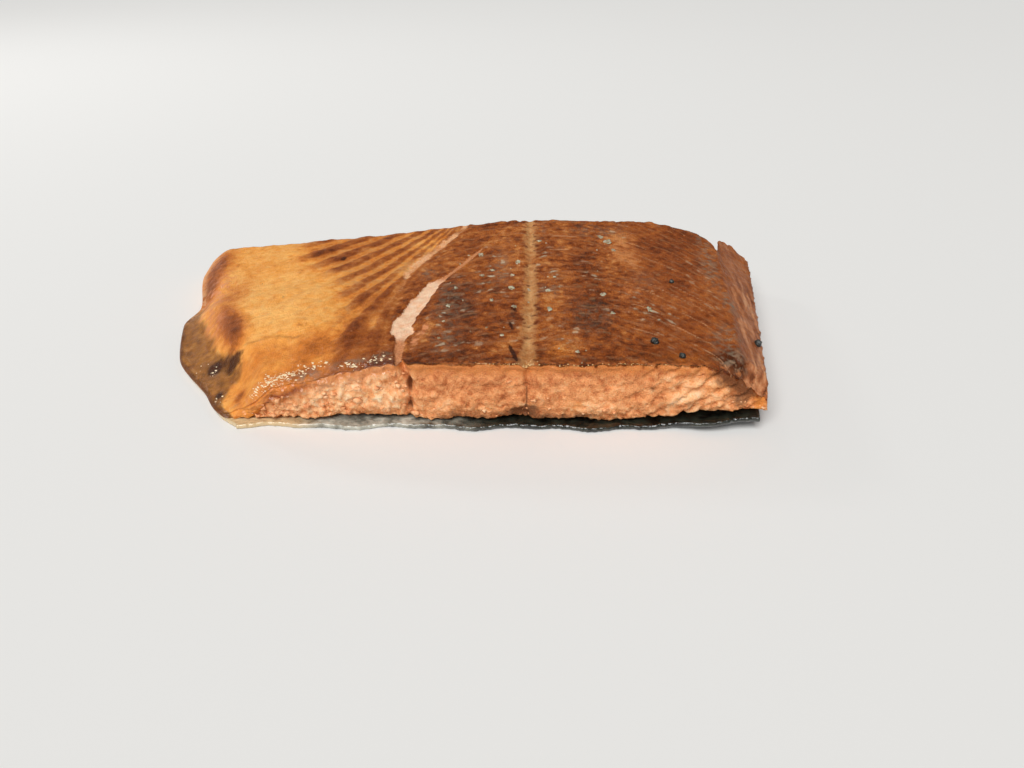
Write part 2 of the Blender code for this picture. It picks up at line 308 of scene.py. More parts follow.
def colour_scale(value, *stops):
    """A run of colours, each at its position along the value."""
    scale = add_node(value.id_data, "ValToRGB", {"Fac": value})
    elements = scale.color_ramp.elements
    while len(elements) < len(stops):
        elements.new(0.5)
    for element, (place_on_scale, colour) in zip(elements, stops):
        element.position = place_on_scale
        element.color = linear(*colour)
    return scale.outputs["Color"]


skin_mesh, across, deep, up = block("skin_surface", SKIN_COLUMNS, SKIN_ROWS, SKIN_LAYERS)
deep = deep**SKIN_ROW_CROWDING
y = deep * DEPTH
for _ in range(SETTLING_ROUNDS):
    left = belly_edge(y) + SKIN_BEHIND_BELLY
    right = dorsal_edge(y) - SKIN_BEHIND_DORSAL
    x = left + across * (right - left)
    wave = sum(reach * np.sin(x / length + phase) for reach, length, phase in SKIN_WAVES)
    wave = wave + FINE_WAVE * lumps(x, 0, 0, 1.6, 3)
    y = wave + deep * (back_cut(x) - SKIN_BEHIND_BACK - wave)
rim = 1 - ease(0, RUFFLE_WIDTH, y - wave)
ruffle = RUFFLE_HEIGHT * lumps(x, y / 2, 0, 2.6, 9) * rim * up
z = skin_underside(x, y) + up * SKIN_THICKNESS + ruffle
y = y + FRONT_EDGE_ROUND * rim * (2 * up - 1) ** 2 * (deep < 0.001)
place(skin_mesh, x, y, z)
store(skin_mesh, "skin_zones", ease(*SILVER_FROM_TO_X, x), ease(*FAT_FROM_TO_X, x))
skin_mesh.shade_smooth()

skin_material, tree, shader = new_material("wet_fish_skin")
where = add_node(tree, "TexCoord").outputs["Object"]
zone = read(tree, "skin_zones")
scales = add_node(tree, "TexVoronoi", {"Vector": where, "Scale": 620.0}).outputs["Distance"]
mottle = add_node(tree, "TexNoise", {"Vector": where, "Scale": 260.0, "Detail": 5.0}).outputs["Fac"]
dark = colour_scale(mottle, (0.35, (10, 12, 10)), (0.72, (52, 56, 46)))
# Silver of the skin; its palest, near-white mottle is painted glint on the wet skin.
bright = colour_scale(mottle, (0.3, (62, 62, 52)), (0.7, (200, 198, 182)))
silvered = blend_colour(zone["X"], dark, bright)
fatty = blend_colour(zone["Y"], silvered, linear(214, 186, 140))
skin_normal = relief(mottle, 0.9, 0.0012, Normal=relief(scales, 0.5, 0.0004))
fill(shader, {"Base Color": fatty, "Normal": skin_normal, "Coat Normal": skin_normal})
fill(shader, {"Roughness": 0.20, "Coat Weight": 0.8, "Coat Roughness": 0.06})
skin = link_object("skin_layer", skin_mesh, skin_material)
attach(skin, "root")
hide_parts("skin")

# ---- Flesh ----
# One thick slab of cooked flesh. Smoke has dried its top to a brown skin, amber over the thin belly; the
# front and back are crumbly pink cuts. Gapes, the line over the spine and the sheets between the muscle
# blocks run through the top, and a torn strip slopes down along the dorsal edge.
FRONT_THICKNESS = 22.6
BACK_THICKNESS = 24.0
FRONT_RISE_WIDTH = 56.0
BACK_RISE_WIDTH = 128.0
SHOULDER_THICKNESS = 12.0
SHOULDER_WIDTH = 10.0
THIN_EDGE = 3.0
EDGE_GAIN = 4.0
FLAP_RISE = 2.0
CORNER_ROLL_WIDTH = 9.0
CORNER_ROLL_DEPTH = 7.5
STRIP_FALL = 6.5
STRIP_STEP_FRONT = 0.6
STRIP_STEP_BACK = 3.2
CUT_LIFT_REACH = 7.0
CUT_LIFT = 1.1
EXTRA_LIFT = 0.9  # around HIGH_LIFT_X, and in all of the dorsal end
HIGH_LIFT_X = -37
CLEARANCE = 0.3
# Lines and widths of the top, as (y, x) or (y, width).
GAPE_LINE = ((0, -30), (14, -31), (24, -31), (42, -27), (63, -21), (78, -13), (92, -6), (118, 4))
GAPE_WIDTH = ((0, 2.0), (10, 3.0), (22, 6.0), (36, 6.5), (48, 4.0), (62, 1.6), (118, 1.0))
OPEN_WIDTH = (  # of the same gape, as far as it has torn open
    (0, 1.6), (12, 2.6), (19, 3.2), (23, 6.4), (30, 6.2), (40, 6), (50, 5.4), (60, 4.6), (64, 3.4),
    (66, 1.5), (88, 1.4), (118, 0.8),
)
TEAR_SHIFT = 1.5  # the open part of the gape lies a little towards the belly
UPPER_GAPE_LINE = ((48, -35), (75, -33), (83, -29), (94, -24), (110, -16), (118, -13))
UPPER_GAPE_WIDTH = ((46, 0.0), (66, 0.4), (75, 3.6), (92, 3.4), (104, 2.8), (118, 2.2))
SPINE_LINE = ((0, 8), (11, 9), (30, 10), (53, 11), (80, 12), (118, 13))
CREST_LINE = ((0, 73), (22, 76), (40, 78), (63, 80.5), (81, 82.5), (97, 84), (118, 85))
FLAP_WIDTH = ((0, 4), (10, 12), (30, 16), (46, 12), (60, 7), (74, 0))
SPINE_WIDTH = 2.8
CRACK_LINE = ((5, -27.5), (10, -27), (15, -26.2), (22, -29.2))  # as (height, x)
SEPTA_DEPTH = 0.22
SEPTA_FROM_X = -92
SEPTA_TO_X = -33
GAPE_DEPTH = 0.8
UPPER_GAPE_DEPTH = 0.5
SPINE_DEPTH = 0.7
PELLICLE_LUMPS = ((0.28, 9.0, 3), (0.22, 3.5, 5))  # height, size and seed
FIBRE_RELIEF = 0.08
RIDGE_HEIGHT = 0.05
RIDGE_SPACING = 4.2
CUT_LEAN = 1.6
CUT_CRUMBS = (0.9, 4.2)  # how deep, and their size
COARSE_CRUMB = 3.4
LOW_CRUMB = 2.1
SMALL_CRUMB = 1.25
FLAKE_CRUMB = 2.9
FLAKE_CRUMB_STRETCH = 2.6
FLAKE_CRUMB_TURN = 36
MEAN_CRUMB = 0.55
EDGE_ROUND = 0.8
EDGE_ROUND_WIDTH = 1.5
TORN_TIP = 1.6
RAGGED_EDGE = 0.5
CRACK_DEPTH = 3.4
CRACK_WIDTH = 2.2
SEAM_DEPTH = 1.2
SEAM_X = 8.6
HOLLOW_DEPTH = 1.8
FLAKE_DEPTH = 0.9
FLAKE_SPACING = 5.2
FLAKE_LEAN = 0.62
DORSAL_STREAKS = 0.7
DORSAL_LEAN = 0.12
SMOKE_ON_BELLY = 0.11  # from 0 for amber to 1 for the darkest brown
SMOKE_ON_BACK = 0.42  # more than on the belly
LIGHTER_WHERE_STRIPED = 0.25
SMOKE_ON_STRIPES = 0.22
SMOKE_ON_LIP = 0.24
PATCH_STRENGTH = 1.3
FLESH_COLUMNS = (26, 104, 20, 66, 12, 104, 28)  # between the lines that key_lines gives
FLESH_ROWS = 150
FLESH_LAYERS = 36
ROW_CROWDING = 0.09

# The fibres run across the top along the curves y = c + rise, given as (x, rise).
FIBRE_RISE = (
    (-110, -41.7), (-90, -39.7), (-75, -36.2), (-60, -30.7), (-45, -23.2), (-30, -14.2), (-20, -7.2),
    (-8, -2.4), (4, 0), (12, 0), (17, 3), (22, 4), (35, 4), (50, -4), (65, -21), (80, -46), (95, -66),
)
# How far in from the belly edge the thin flap has a darker colour of its own, as (y, width).
FLAP_COLOURED = (
    (0, 2), (8, 3), (10, 4), (14, 8), (17, 13), (22, 15.5), (28, 15), (33, 13), (44, 10), (56, 8), (70, 3),
)
# Where the amber of the belly gives way to brown smoke, as (y, x).
SMOKED_FROM = ((0, -50), (20, -51), (40, -51), (60, -56), (80, -66), (95, -74), (118, -78))
# Patches of the top: x, y, half width, half length, how much, and any turn in degrees.
DARKER_PATCHES = (
    (-70, 95, 9, 3.5, 0.2, 30), (-59, 88, 5, 3, 0.16, 42), (-47, 22, 6, 12, 0.13, -8),
    (-59, 15, 6, 7, 0.22), (-14, 42, 8, 18, 0.2), (-12, 16, 9, 9, 0.12), (-8, 60, 8, 10, 0.08),
    (31, 38, 8, 18, 0.19), (31, 74, 6, 9, 0.17, -5), (38, 14, 14, 6, 0.12), (70, 98, 10, 12, 0.12, -25),
    (62, 56, 7, 5, 0.1, 10), (54, 30, 6, 4, 0.08), (-42, 48, 5, 8, 0.1, -20), (66, 72, 7, 10, 0.08),
    (21, 88, 5, 10, 0.06), (-35, 8, 4, 3, 0.1), (-97, 60, 6, 22, 0.08, -8), (-91, 42, 4.2, 11, 0.4, 23),
    (-110, 94, 5, 16, 0.34, 3), (-109, 76, 4, 8, 0.36, 5), (-87, 32, 3, 5, 0.18, 20),
    (-76, 17, 11, 8, 0.17), (-58, 22, 5, 8, 0.1), (-81, 8.7, 1.6, 2.4, 0.3), (3, 44, 5, 16, 0.1),
    (58, 94, 7, 8, 0.08), (-64, 8, 6, 3, 0.1, 15), (-59, 5, 5, 2.5, 0.2, 12), (60, 30, 10, 12, 0.05),
    (72, 7, 6, 6, 0.34),
)
LIGHTER_PATCHES = (
    (-78, 55, 14, 22, 0.04), (-52, 72, 10, 14, 0.05, 30), (18, 44, 4, 7, 0.18), (20, 12, 6, 6, 0.12),
    (46, 50, 4, 6, 0.1, -10), (62, 4, 14, 3, 0.1), (47, 84, 6, 14, 0.14, -4), (45, 100, 6, 7, 0.17),
    (-23.5, 22, 2.2, 8, 0.16, -8), (-13, 78, 5, 8, 0.14, -20), (-24, 96, 10, 6, 0.1), (3, 100, 9, 12, 0.08),
    (30, 102, 8, 7, 0.06), (-40, 30, 3, 5, 0.16, -10), (2, 14, 3, 8, 0.1), (3, 74, 4, 10, 0.12),
    (-36, 50, 2.5, 10, 0.12), (72, 30, 6, 30, 0.04), (-35, 76, 3, 8, 0.22, -25), (50, 85, 4, 25, 0.08),
    (-60, 97, 3, 2, 0.1, 30), (-27, 78, 3, 6, 0.06, -25),
)
# Grey patches of the top: in part grey smears, in part painted sheen where the wet top reflects the room.
GREY_AND_SHEEN_PATCHES = (
    (78, 74, 3.5, 18, 0.8, -5), (79, 46, 3, 8, 0.7, -5), (72, 19, 5, 9, 0.8, -8), (80, 98, 3, 8, 0.5),
    (72, 6, 6, 5, 0.9, 20), (81, 40, 3, 8, 0.6), (17, 108, 1.5, 8, 0.7), (-16, 45, 6, 16, 0.55),
    (-17, 18, 5, 9, 0.5), (1, 72, 3, 16, 0.7), (44, 106, 7, 6, 0.4), (30, 34, 7, 14, 0.35),
    (-26, 70, 3, 5, 0.7), (52, 62, 4, 8, 0.3), (34, 108, 5, 6, 0.3), (-58, 3.5, 4, 2, 0.8),
    (-45, 5, 5, 2.5, 0.9), (-35, 7, 4, 3, 0.7, 20), (18, 53, 4, 5, 0.6),
)
REDDER_PATCHES = (
    (-97, 60, 6, 22, 0.5, -8), (-91, 42, 4.5, 11, 0.8, 23), (-110, 94, 5.5, 17, 0.7, 3),
    (62, 60, 14, 46, 0.35), (46, 52, 6, 8, 0.6), (-81, 8.7, 2, 3, 0.6), (47, 88, 7, 14, 0.5),
    (60, 4, 10, 3, 0.3), (-70, 82, 8, 3, 0.3, 35), (80, 30, 5, 30, 0.3),
)
# The last three dark spots are painted shade in thin cracks by the spine line.
DARK_SPOTS_AND_CRACK_SHADE = (
    (-94.2, 27, 2.4, 3.4, 0.95), (-86.4, 24.5, 3.4, 3, 1), (-90.5, 28.5, 4.5, 3.5, 0.5),
    (-98.5, 30.5, 3.5, 3, 0.4), (-89, 13, 1.4, 2.2, 1), (-76.1, 56.7, 0.7, 0.7, 1),
    (-87.4, 72.7, 0.6, 0.6, 0.6), (-59.5, 88.4, 0.9, 1.3, 1), (-104, 41, 2.5, 5, 0.3),
    (4.4, 8.6, 0.6, 6, 1.5, 12), (4, 27, 0.55, 3.2, 1.3, 10), (5.4, 38.6, 0.5, 2.2, 1.2, 17),
)
# Where the belly is streaked with pink, and where the top is raw beside the lower gape.
BELLY_PINK_PATCHES = ((-105, 66, 7, 13, 1, 6), (-104, 80, 5, 9, 0.6, 8), (-99, 48, 5, 7, 0.7, 10))
RAW_PATCHES = ((-26.3, 17, 1.3, 6, 0.85, -6), (-23.8, 25, 1.3, 6, 0.85, -14))
# Where the brown of the back turns to amber.
AMBER_PATCHES = (
    (18, 10, 5, 9, 0.55), (50, 4, 16, 5, 0.5), (60, 7, 12, 4, 0.35, -10), (18, 42, 5, 8, 0.3),
    (-12, 79, 5, 9, 0.35, -20), (46, 86, 6, 14, 0.2), (9, 4, 4, 4, 0.9), (-23.5, 22, 2.4, 8, 0.4, -8),
    (2, 12, 4, 6, 0.3), (-24, 100, 10, 6, 0.3), (3, 108, 8, 8, 0.25), (-40, 30, 3, 5, 0.4),
    (64, 40, 7, 3, 0.2, -10), (46, 52, 5, 8, 0.3, -10),
)
# Grey-white flecks, in part where fat and juice have dried and in part painted glints on the wet top, with
# the same numbers.
FLECK_AND_GLINT_PATCHES = (
    (-16, 46, 7, 20, 0.9, -10), (-14, 14, 9, 8, 0.6), (-2, 70, 7, 22, 0.9), (17, 66, 5, 26, 0.8),
    (36, 60, 8, 20, 0.5), (46, 40, 8, 22, 0.7), (42, 100, 8, 10, 0.8), (22, 20, 9, 9, 0.5),
    (58, 30, 8, 18, 0.4), (-28, 84, 5, 10, 0.4, -30), (72, 60, 6, 30, 0.3), (6, 30, 3, 20, 0.5),
)
# Long thin pale lines that follow the fibres: where across them, from x and to x.
PALE_ARCS = (
    (101, 46, 60), (91, 50, 68), (80, 44, 57), (74, 57, 76), (66, 50, 72), (58.5, 45, 60), (53, 58, 78),
    (44, 42, 58), (38.5, 52, 70), (31, 60, 76), (26, 40, 54), (97, 18, 34), (84, 16, 30),
)
# Stains of the front cut, with z for y; the brown ones also hold a darker brown along the bottom and painted
# shade in the crack under the gape.
CUT_BROWN_AND_CRACK_SHADE_PATCHES = (
    (71, 19.5, 8, 4.5, 1.1, -20), (79, 15, 4, 4, 0.8), (74, 11, 3, 5, 0.5, 20), (8, 5.5, 7, 2.4, 0.8),
    (-8, 3.5, 14, 1.6, 0.6), (22, 3.5, 12, 1.3, 0.6), (57, 7, 6, 3, 0.45, 30), (50, 8, 3, 3, 0.3),
    (-27, 14.5, 0.8, 3.2, 1, 6), (-27.2, 6.8, 0.9, 1.6, 1), (8.6, 11, 0.5, 6, 0.7),
    (-76, 8.5, 6, 1.2, 0.4, 25), (-6, 17, 0.7, 0.7, 0.5), (47, 14.5, 0.9, 1, 0.8), (40, 11, 0.5, 1.4, 0.6),
)
CUT_ORANGE_PATCHES = ((80.5, 9, 2, 6, 1), (-79, 7, 4, 3, 0.8), (24, 8, 2.2, 1.6, 0.6), (68, 16, 6, 3, 0.3))
CUT_PALE_PATCHES = (
    (-48, 12, 16, 6, 0.6, 10), (-33, 9, 6, 5, 0.5), (-20, 8, 8, 3, 0.3), (55, 10, 3.5, 1.2, 0.8, 30),
    (60, 14, 8, 4, 0.2), (28, 10, 12, 6, 0.35), (43, 15, 9, 3, 0.25), (7.5, 8.2, 1.5, 0.9, 0.9),
    (13, 10.5, 1, 0.8, 0.6),
)


def along(points, y, soft=4):
    """The value of a line given by its (y, value) points, with its corners softened."""
    ys, values = zip(*points)
    return sum(np.interp(y + step, ys, values) for step in (-soft, 0, soft)) / 3


def patches(x, y, listed):
    """The sum of the soft oval patches listed."""
    total = np.zeros(np.shape(x))
    for middle_x, middle_y, half_width, half_length, amount, *turned in listed:
        turn = math.radians(sum(turned))
        cos, sin = math.cos(turn), math.sin(turn)
        wide = ((x - middle_x) * cos + (y - middle_y) * sin) / half_width
        long = (-(x - middle_x) * sin + (y - middle_y) * cos) / half_length
        total += amount * np.exp(-((wide**2 + long**2) ** 1.3))
    return total


def key_lines(y):
    """The lines that the grid's columns follow, from the belly edge to the dorsal edge."""
    shoulder = belly_edge(y) + SHOULDER_WIDTH + 0.7 * along(FLAP_WIDTH, y)
    gape = along(GAPE_LINE, y)
    gape_half = along(GAPE_WIDTH, y) / 2 + 0.8
    spine = along(SPINE_LINE, y)
    return (
        belly_edge(y), shoulder, gape - gape_half, gape + gape_half, spine - SPINE_WIDTH / 2,
        spine + SPINE_WIDTH / 2, along(CREST_LINE, y), dorsal_edge(y),
    )


def septum_phase(x, y):
    """Counts the sheets between the muscle blocks of the belly.

    The sheets are the curves x = 0.425 y - 67.6 + fan exp(-0.02 y): nearly parallel to the gape at the
    front, and fanning out towards the belly edge at the back, each 0.7 times as far on as the one before.
    """
    fan = (x + 67.6 - 0.425 * y) * np.exp(0.02 * y)
    return np.log(np.maximum(60 - fan, 8) / 215) / np.log(0.7) + 0.10 * lumps(x, y, 0, 8.0, 57)


def flesh_underside(x, y):
    """Rests on the skin, and is ragged and lifted off it along both cuts."""
    ragged = CUT_LIFT * (1 + 0.7 * np.sin(x / 4.3) * np.sin(x / 9.1 + 1))
    ragged = ragged + EXTRA_LIFT * (near(x - HIGH_LIFT_X, 5) + ease(40, 55, x))
    ragged = ragged * ease(0, 12, x - belly_edge(y))
    from_front = ease(2, 2 + CUT_LIFT_REACH, y)
    from_back = ease(2, 2 + CUT_LIFT_REACH, back_cut(x) - y)
    return skin_underside(x, y) + SKIN_THICKNESS + CLEARANCE + ragged * (2 - from_front - from_back)


def belly_shoulder(inward, y, back):
    """The height above the belly edge: a thin flap at the front, then a short slope up to the shoulder."""
    flap = along(FLAP_WIDTH, y)
    edge = THIN_EDGE + EDGE_GAIN * ease(35, 85, y)
    flap_top = edge + FLAP_RISE * ease(0, 1, inward / np.maximum(flap, 4)) * (1 - ease(55, 80, y))
    rise = np.clip((inward - 0.75 * flap) / SHOULDER_WIDTH, 0, 1)
    hollow_slope = ease(0, 1, rise)
    round_slope = 1 - (1 - rise) ** 2
    return flap_top + (SHOULDER_THICKNESS - flap_top) * (hollow_slope * (1 - back) + round_slope * back)


def across_strip(x, y):
    """0 at the crest and 1 at the dorsal edge, across the torn strip."""
    crest = along(CREST_LINE, y)
    return np.clip((x - crest) / (dorsal_edge(y) - crest), 0, 1)


def plain_top(x, y):
    """The height of the top without its relief."""
    back = np.clip(y / DEPTH, 0, 1)
    inward = np.maximum(x - belly_edge(y), 0)
    front_rise = (FRONT_THICKNESS - SHOULDER_THICKNESS) * ease(0, FRONT_RISE_WIDTH, inward)
    level = ease(BACK_RISE_WIDTH - 18, BACK_RISE_WIDTH + 17, inward)
    slant = inward / BACK_RISE_WIDTH * (1 - level) + level
    back_rise = (BACK_THICKNESS - SHOULDER_THICKNESS) * slant
    top = belly_shoulder(inward, y, back) + front_rise * (1 - back) + back_rise * back
    at_front = 1 - ease(-1, CORNER_ROLL_WIDTH, y)
    top = top - CORNER_ROLL_DEPTH * ease(60, 81, x) * at_front
    step = STRIP_STEP_FRONT + (STRIP_STEP_BACK - STRIP_STEP_FRONT) * ease(60, 105, y)
    fall = STRIP_FALL - 2.5 * at_front
    strip = across_strip(x, y)
    return top - step * ease(0, 0.25, strip) - fall * strip**1.2


def fibre_rise(x):
    return along(FIBRE_RISE, x, 2.5)


def inside_gape(x, y):
    """Millimetres inside the edge of the lower gape, and negative outside it."""
    ragged = 0.6 * lumps(x, y, 0, 2.2, 41, 3) + 0.7 * lumps(x, y, 0, 5.0, 43)
    width = along(OPEN_WIDTH, y, 1)
    middle = along(GAPE_LINE, y) - TEAR_SHIFT * ease(22, 30, y) * ease(70, 58, y)
    return width / 2 - np.abs(x - middle) * 0.93 + ragged * ease(1.0, 4.0, width)


def inside_upper_gape(x, y):
    ragged = 0.5 * lumps(x, y, 0, 3.0, 47, 3)
    width = along(UPPER_GAPE_WIDTH, y)
    return width / 2 - np.abs(x - along(UPPER_GAPE_LINE, y)) * 0.85 + ragged - (1 - ease(44, 56, y))


def flesh_top(x, y):
    """The top with its relief: gapes, the groove over the spine, the septa and the uneven pellicle."""
    gape = GAPE_DEPTH * ease(-0.35, 0.35, inside_gape(x, y)) * (1 - 0.8 * ease(62, 70, y))
    gape = gape + UPPER_GAPE_DEPTH * ease(-0.5, 0.5, inside_upper_gape(x, y))
    spine = SPINE_DEPTH * near(x - along(SPINE_LINE, y), SPINE_WIDTH / 2) * (1.9 - 0.9 * ease(0, 7, y))
    septa_zone = ease(SEPTA_FROM_X, SEPTA_FROM_X + 22, x) * (1 - ease(SEPTA_TO_X - 5, SEPTA_TO_X, x))
    septa = SEPTA_DEPTH * np.cos(2 * np.pi * septum_phase(x, y)) * septa_zone * ease(4, 20, y)
    rough = sum(height * lumps(x, y, 0, size, seed) for height, size, seed in PELLICLE_LUMPS)
    across = y - fibre_rise(x)
    back_half = ease(-32, -18, x)
    fine = FIBRE_RELIEF * lumps(0.7 * x, across, 0, 1.5, 13, 3) * (0.35 + 0.65 * back_half)
    ridges = np.sin(2 * np.pi * across / RIDGE_SPACING + 4.0 * lumps(x, y, 0, 7, 17)) * back_half
    inland = ease(0, 10, x - belly_edge(y))
    torn = ease(-0.5, 0.5, inside_gape(x, y))
    smooth = (1 - 0.9 * torn) * (1 - 0.7 * near(x - along(SPINE_LINE, y), SPINE_WIDTH))
    return plain_top(x, y) - gape - spine - septa + (rough + (fine + RIDGE_HEIGHT * ridges) * smooth) * inland


def cut_relief(x, z, seed):
    """How far the crumbly, flaky flesh of a cut stands back from its flat plane."""
    crumb_depth, crumb_size = CUT_CRUMBS
    crumbs = crumb_depth * (MEAN_CRUMB + lumps(x, seed, z, crumb_size, seed))
    slant = ease(20, 60, x)
    flake = (z * (1 - 0.2 * slant) - (x - 40) * FLAKE_LEAN * slant) / FLAKE_SPACING
    flake = flake + 0.35 * slant * lumps(x, 0, z, 6.0, seed + 3)
    flakes = FLAKE_DEPTH * (flake % 1.0) * (0.35 + 0.65 * slant)
    seam = SEAM_DEPTH * near(x - SEAM_X, 0.9) * ease(3, 20, z)
    hollow = HOLLOW_DEPTH * near(x - SEAM_X + 2, 3.2) * (1 - ease(4, 9, z))
    lean = CUT_LEAN * (1 - ease(2, 11, z))
    return crumbs + flakes + seam + hollow + lean


def crumb_cells(across, up, size, seed):
    """Rounded crumbs of this size: 0 in the creases between them, 1 in their middles."""
    found = [
        noise.voronoi(Vector((point_across, point_up, seed)))[0][:2]
        for point_across, point_up in zip(across / size, up / size)
    ]
    return ease(0, 0.6, np.array([second - first for first, second in found]))


def fine_crumbs(x, z, seed):
    """How far the crumbs stand out of a cut: coarse lumps at the belly, long flakes at the back."""
    wobble = 1.1 * lumps(x, 0, z, 2.4, seed, 3)
    lift = 1.1 * lumps(x, 5, z, 2.4, seed + 9, 3)
    coarse = crumb_cells(x + 0.6 * wobble, z + 0.6 * lift, COARSE_CRUMB, seed) * 0.7 * ease(-16, -38, x)
    low_down = np.maximum(ease(12, 6, z), ease(-10, -34, x))
    low = crumb_cells(x - 0.5 * lift, z + 0.5 * wobble, LOW_CRUMB, seed + 1) * 0.55 * low_down
    small = crumb_cells(x + 0.3 * lift, z, SMALL_CRUMB, seed + 2) * 0.26 + 0.2 * lumps(x, 0, z, 1.6, seed + 5)
    small = small * (1 - 0.65 * ease(9, 14, z) * ease(-28, -18, x) * ease(52, 40, x))
    turn = math.radians(FLAKE_CRUMB_TURN)
    flake_along = (x * math.cos(turn) + z * math.sin(turn)) / FLAKE_CRUMB_STRETCH
    flake_up = -x * math.sin(turn) + z * math.cos(turn)
    flakes = crumb_cells(flake_along, flake_up + wobble, FLAKE_CRUMB, seed + 3) * 0.8 * ease(42, 54, x)
    return coarse + low + small + flakes


def front_cut(x, z):
    """The front cut's y, with its belly corner set back and a dark crack under the gape."""
    heights, middles = zip(*CRACK_LINE)
    from_crack = x - np.interp(z, heights, middles)
    crack = CRACK_DEPTH * near(from_crack, CRACK_WIDTH / 2) * (0.45 + 0.55 * np.abs(np.cos(0.42 * z)))
    corner = 4 * ease(-69, -83, x) * ease(2, 11, z)
    return 0.4 + corner + crack + cut_relief(x, z, 11)


def column_x(position, y):
    """X of a column, whose position is a number of key lines plus the part of the way to the next."""
    lines = np.array(key_lines(y))
    left = np.minimum(position.astype(int), len(lines) - 2)
    part = position - left
    each = np.arange(len(y))
    return lines[left, each] * (1 - part) + lines[left + 1, each] * part


flesh_mesh, across, deep, up = block("flesh_surface", sum(FLESH_COLUMNS), FLESH_ROWS, FLESH_LAYERS)
line_starts = np.cumsum((0,) + FLESH_COLUMNS)
position = np.interp(across * sum(FLESH_COLUMNS), line_starts, np.arange(len(line_starts)))
on_front = deep < 1e-6
on_back = deep > 1 - 1e-6
deep = deep - ROW_CROWDING * np.sin(2 * np.pi * deep)
front_x = column_x(position, 0 * deep)
y = deep * DEPTH
for settled in (False, False, True):
    x = column_x(position, y)
    low = flesh_underside(x, y)
    top = flesh_top(x, y) if settled else plain_top(x, y)
    z = low + up * (top - low)
    front = front_cut(front_x, z)
    torn_tip = TORN_TIP * lumps(x, z / 2, 0, 2.2, 77) * ease(84, 90, x)
    y = front + deep * (back_cut(x) + torn_tip - cut_relief(x, z, 23) - front)
on_cut = on_front | on_back
below_top = top - z
crumbs = np.zeros(len(x))
for side, seed in ((on_front, 51), (on_back, 61)):
    crumbs[side] = fine_crumbs(x[side], z[side], seed)
edge_fade = ease(0.2, 1.6, below_top)
rounded = EDGE_ROUND * (1 - np.clip(below_top / EDGE_ROUND_WIDTH, 0, 1)) ** 2
standing = (crumbs - MEAN_CRUMB) * edge_fade - rounded
y = y - np.where(on_front, standing, 0) + np.where(on_back, standing, 0)
ragged_edge = RAGGED_EDGE * lumps(x, 0, 0, 1.6, 71) * (1 - up) ** 4 * ease(-92, -80, x)
z = z + np.where(on_cut, ragged_edge, 0)
dorsal_wall = ease(6.5, 7, position)
streaks = DORSAL_STREAKS * lumps(0, y / 2.2, z / 7, 1, 31, 3)
belly_round = (1 - ease(0, 0.12, position)) * 2.0 * up * (1 - up)
x = x + dorsal_wall * (DORSAL_LEAN * (14 - z) + streaks) - belly_round
place(flesh_mesh, x, y, z)
x_of_mesh, y_of_mesh, z_of_mesh = x, y, z

# What the material reads at each point of the flesh.
from_belly, from_front, across_fibres = x - belly_edge(y), y - front, y - fibre_rise(x)
phase = septum_phase(x, y)
smoked = ease(-9, 9, x - along(SMOKED_FROM, y))
striped = smoked * ease(6.4, 5.6, phase) * ease(-3.0, -2.2, phase)
stripe_wave = ease(0.25, 0.7, 0.5 - 0.5 * np.cos(2 * np.pi * phase))
stripes = stripe_wave * striped * (1 + 0.7 * lumps(x, y, 0, 5.0, 59))
stripes = stripes + 0.45 * (striped - stripes) * ease(4.3, 4.9, phase)
smoke = SMOKE_ON_BELLY + SMOKE_ON_BACK * smoked - LIGHTER_WHERE_STRIPED * striped + SMOKE_ON_STRIPES * stripes
smoke = smoke + PATCH_STRENGTH * (patches(x, y, DARKER_PATCHES) - patches(x, y, LIGHTER_PATCHES))
smoke = smoke + SMOKE_ON_LIP * ease(12, 2, y) * ease(-88, -74, x)
flap = from_belly / along(FLAP_COLOURED, y, 2) + 0.30 * lumps(x, y, 0, 6.0, 91)
flap = ease(1.10, 0.82, flap) * (1 - ease(62, 72, y))
flap_rim = ease(1.6, 0.3, from_belly + 0.8 * lumps(x, y, 0, 5.0, 93)) * flap
cut_depth = np.where(on_cut, below_top, -np.minimum(np.minimum(from_front, back_cut(x) - y), 9))
cut_depth = np.where((up < 0.999) & ~on_cut, -9, cut_depth)
cut_depth = cut_depth - np.where(on_front, 2.8 * ease(-52, -66, x) + 7 * ease(-68, -80, x), 0)
lip_line = near(cut_depth - 0.2, 0.9) * ease(-56, -62, x) * ease(-84, -78, x) * on_front
arcs = np.zeros(len(x))
for middle, from_x, to_x in PALE_ARCS:
    wander = middle + 0.5 * np.sin(x / 4.7 + middle)
    arcs += near(across_fibres - wander, 1.3) * ease(from_x, from_x + 4, x) * ease(to_x, to_x - 4, x)
crease_y = 28.2 + 0.12 * (-84 - x) + 0.7 * np.sin(x / 3.1)
belly_crease = near(y - crease_y, 0.55) * ease(-86, -80, x) * ease(-60, -68, x)
wet = ease(8, 3, y) * ease(-88, -78, x) * (1 - ease(-34, -26, x)) * (below_top < 4) + 0.28 * flap
wet = np.maximum(wet, 0.35 * ease(2.8, 1.2, from_front) * ~on_cut)
wet = np.maximum(wet, 0.08) - 0.08 * on_cut
strip = ease(0.0, 0.34, across_strip(x, y) + 0.16 * lumps(x, y, 0, 3.0, 97))
strip = strip * ~on_cut * (1 - 0.55 * ease(62, 84, y))
redder = patches(x, y, REDDER_PATCHES)
contrast = 0.26 + 0.50 * smoked * (1 - 0.65 * striped) * (1 - 0.60 * ease(40, 56, x)) + 0.3 * redder
amber = 1 - smoked + 0.55 * (striped - stripes) + patches(x, y, AMBER_PATCHES)
open_gape = inside_gape(x, y) - 3 * ease(88, 100, y)
belly_rim = ease(3.0, 0.5, from_belly) * ease(52, 66, y)
front_band = ease(4.0, 1.0, from_front) * ease(-24, -14, x)
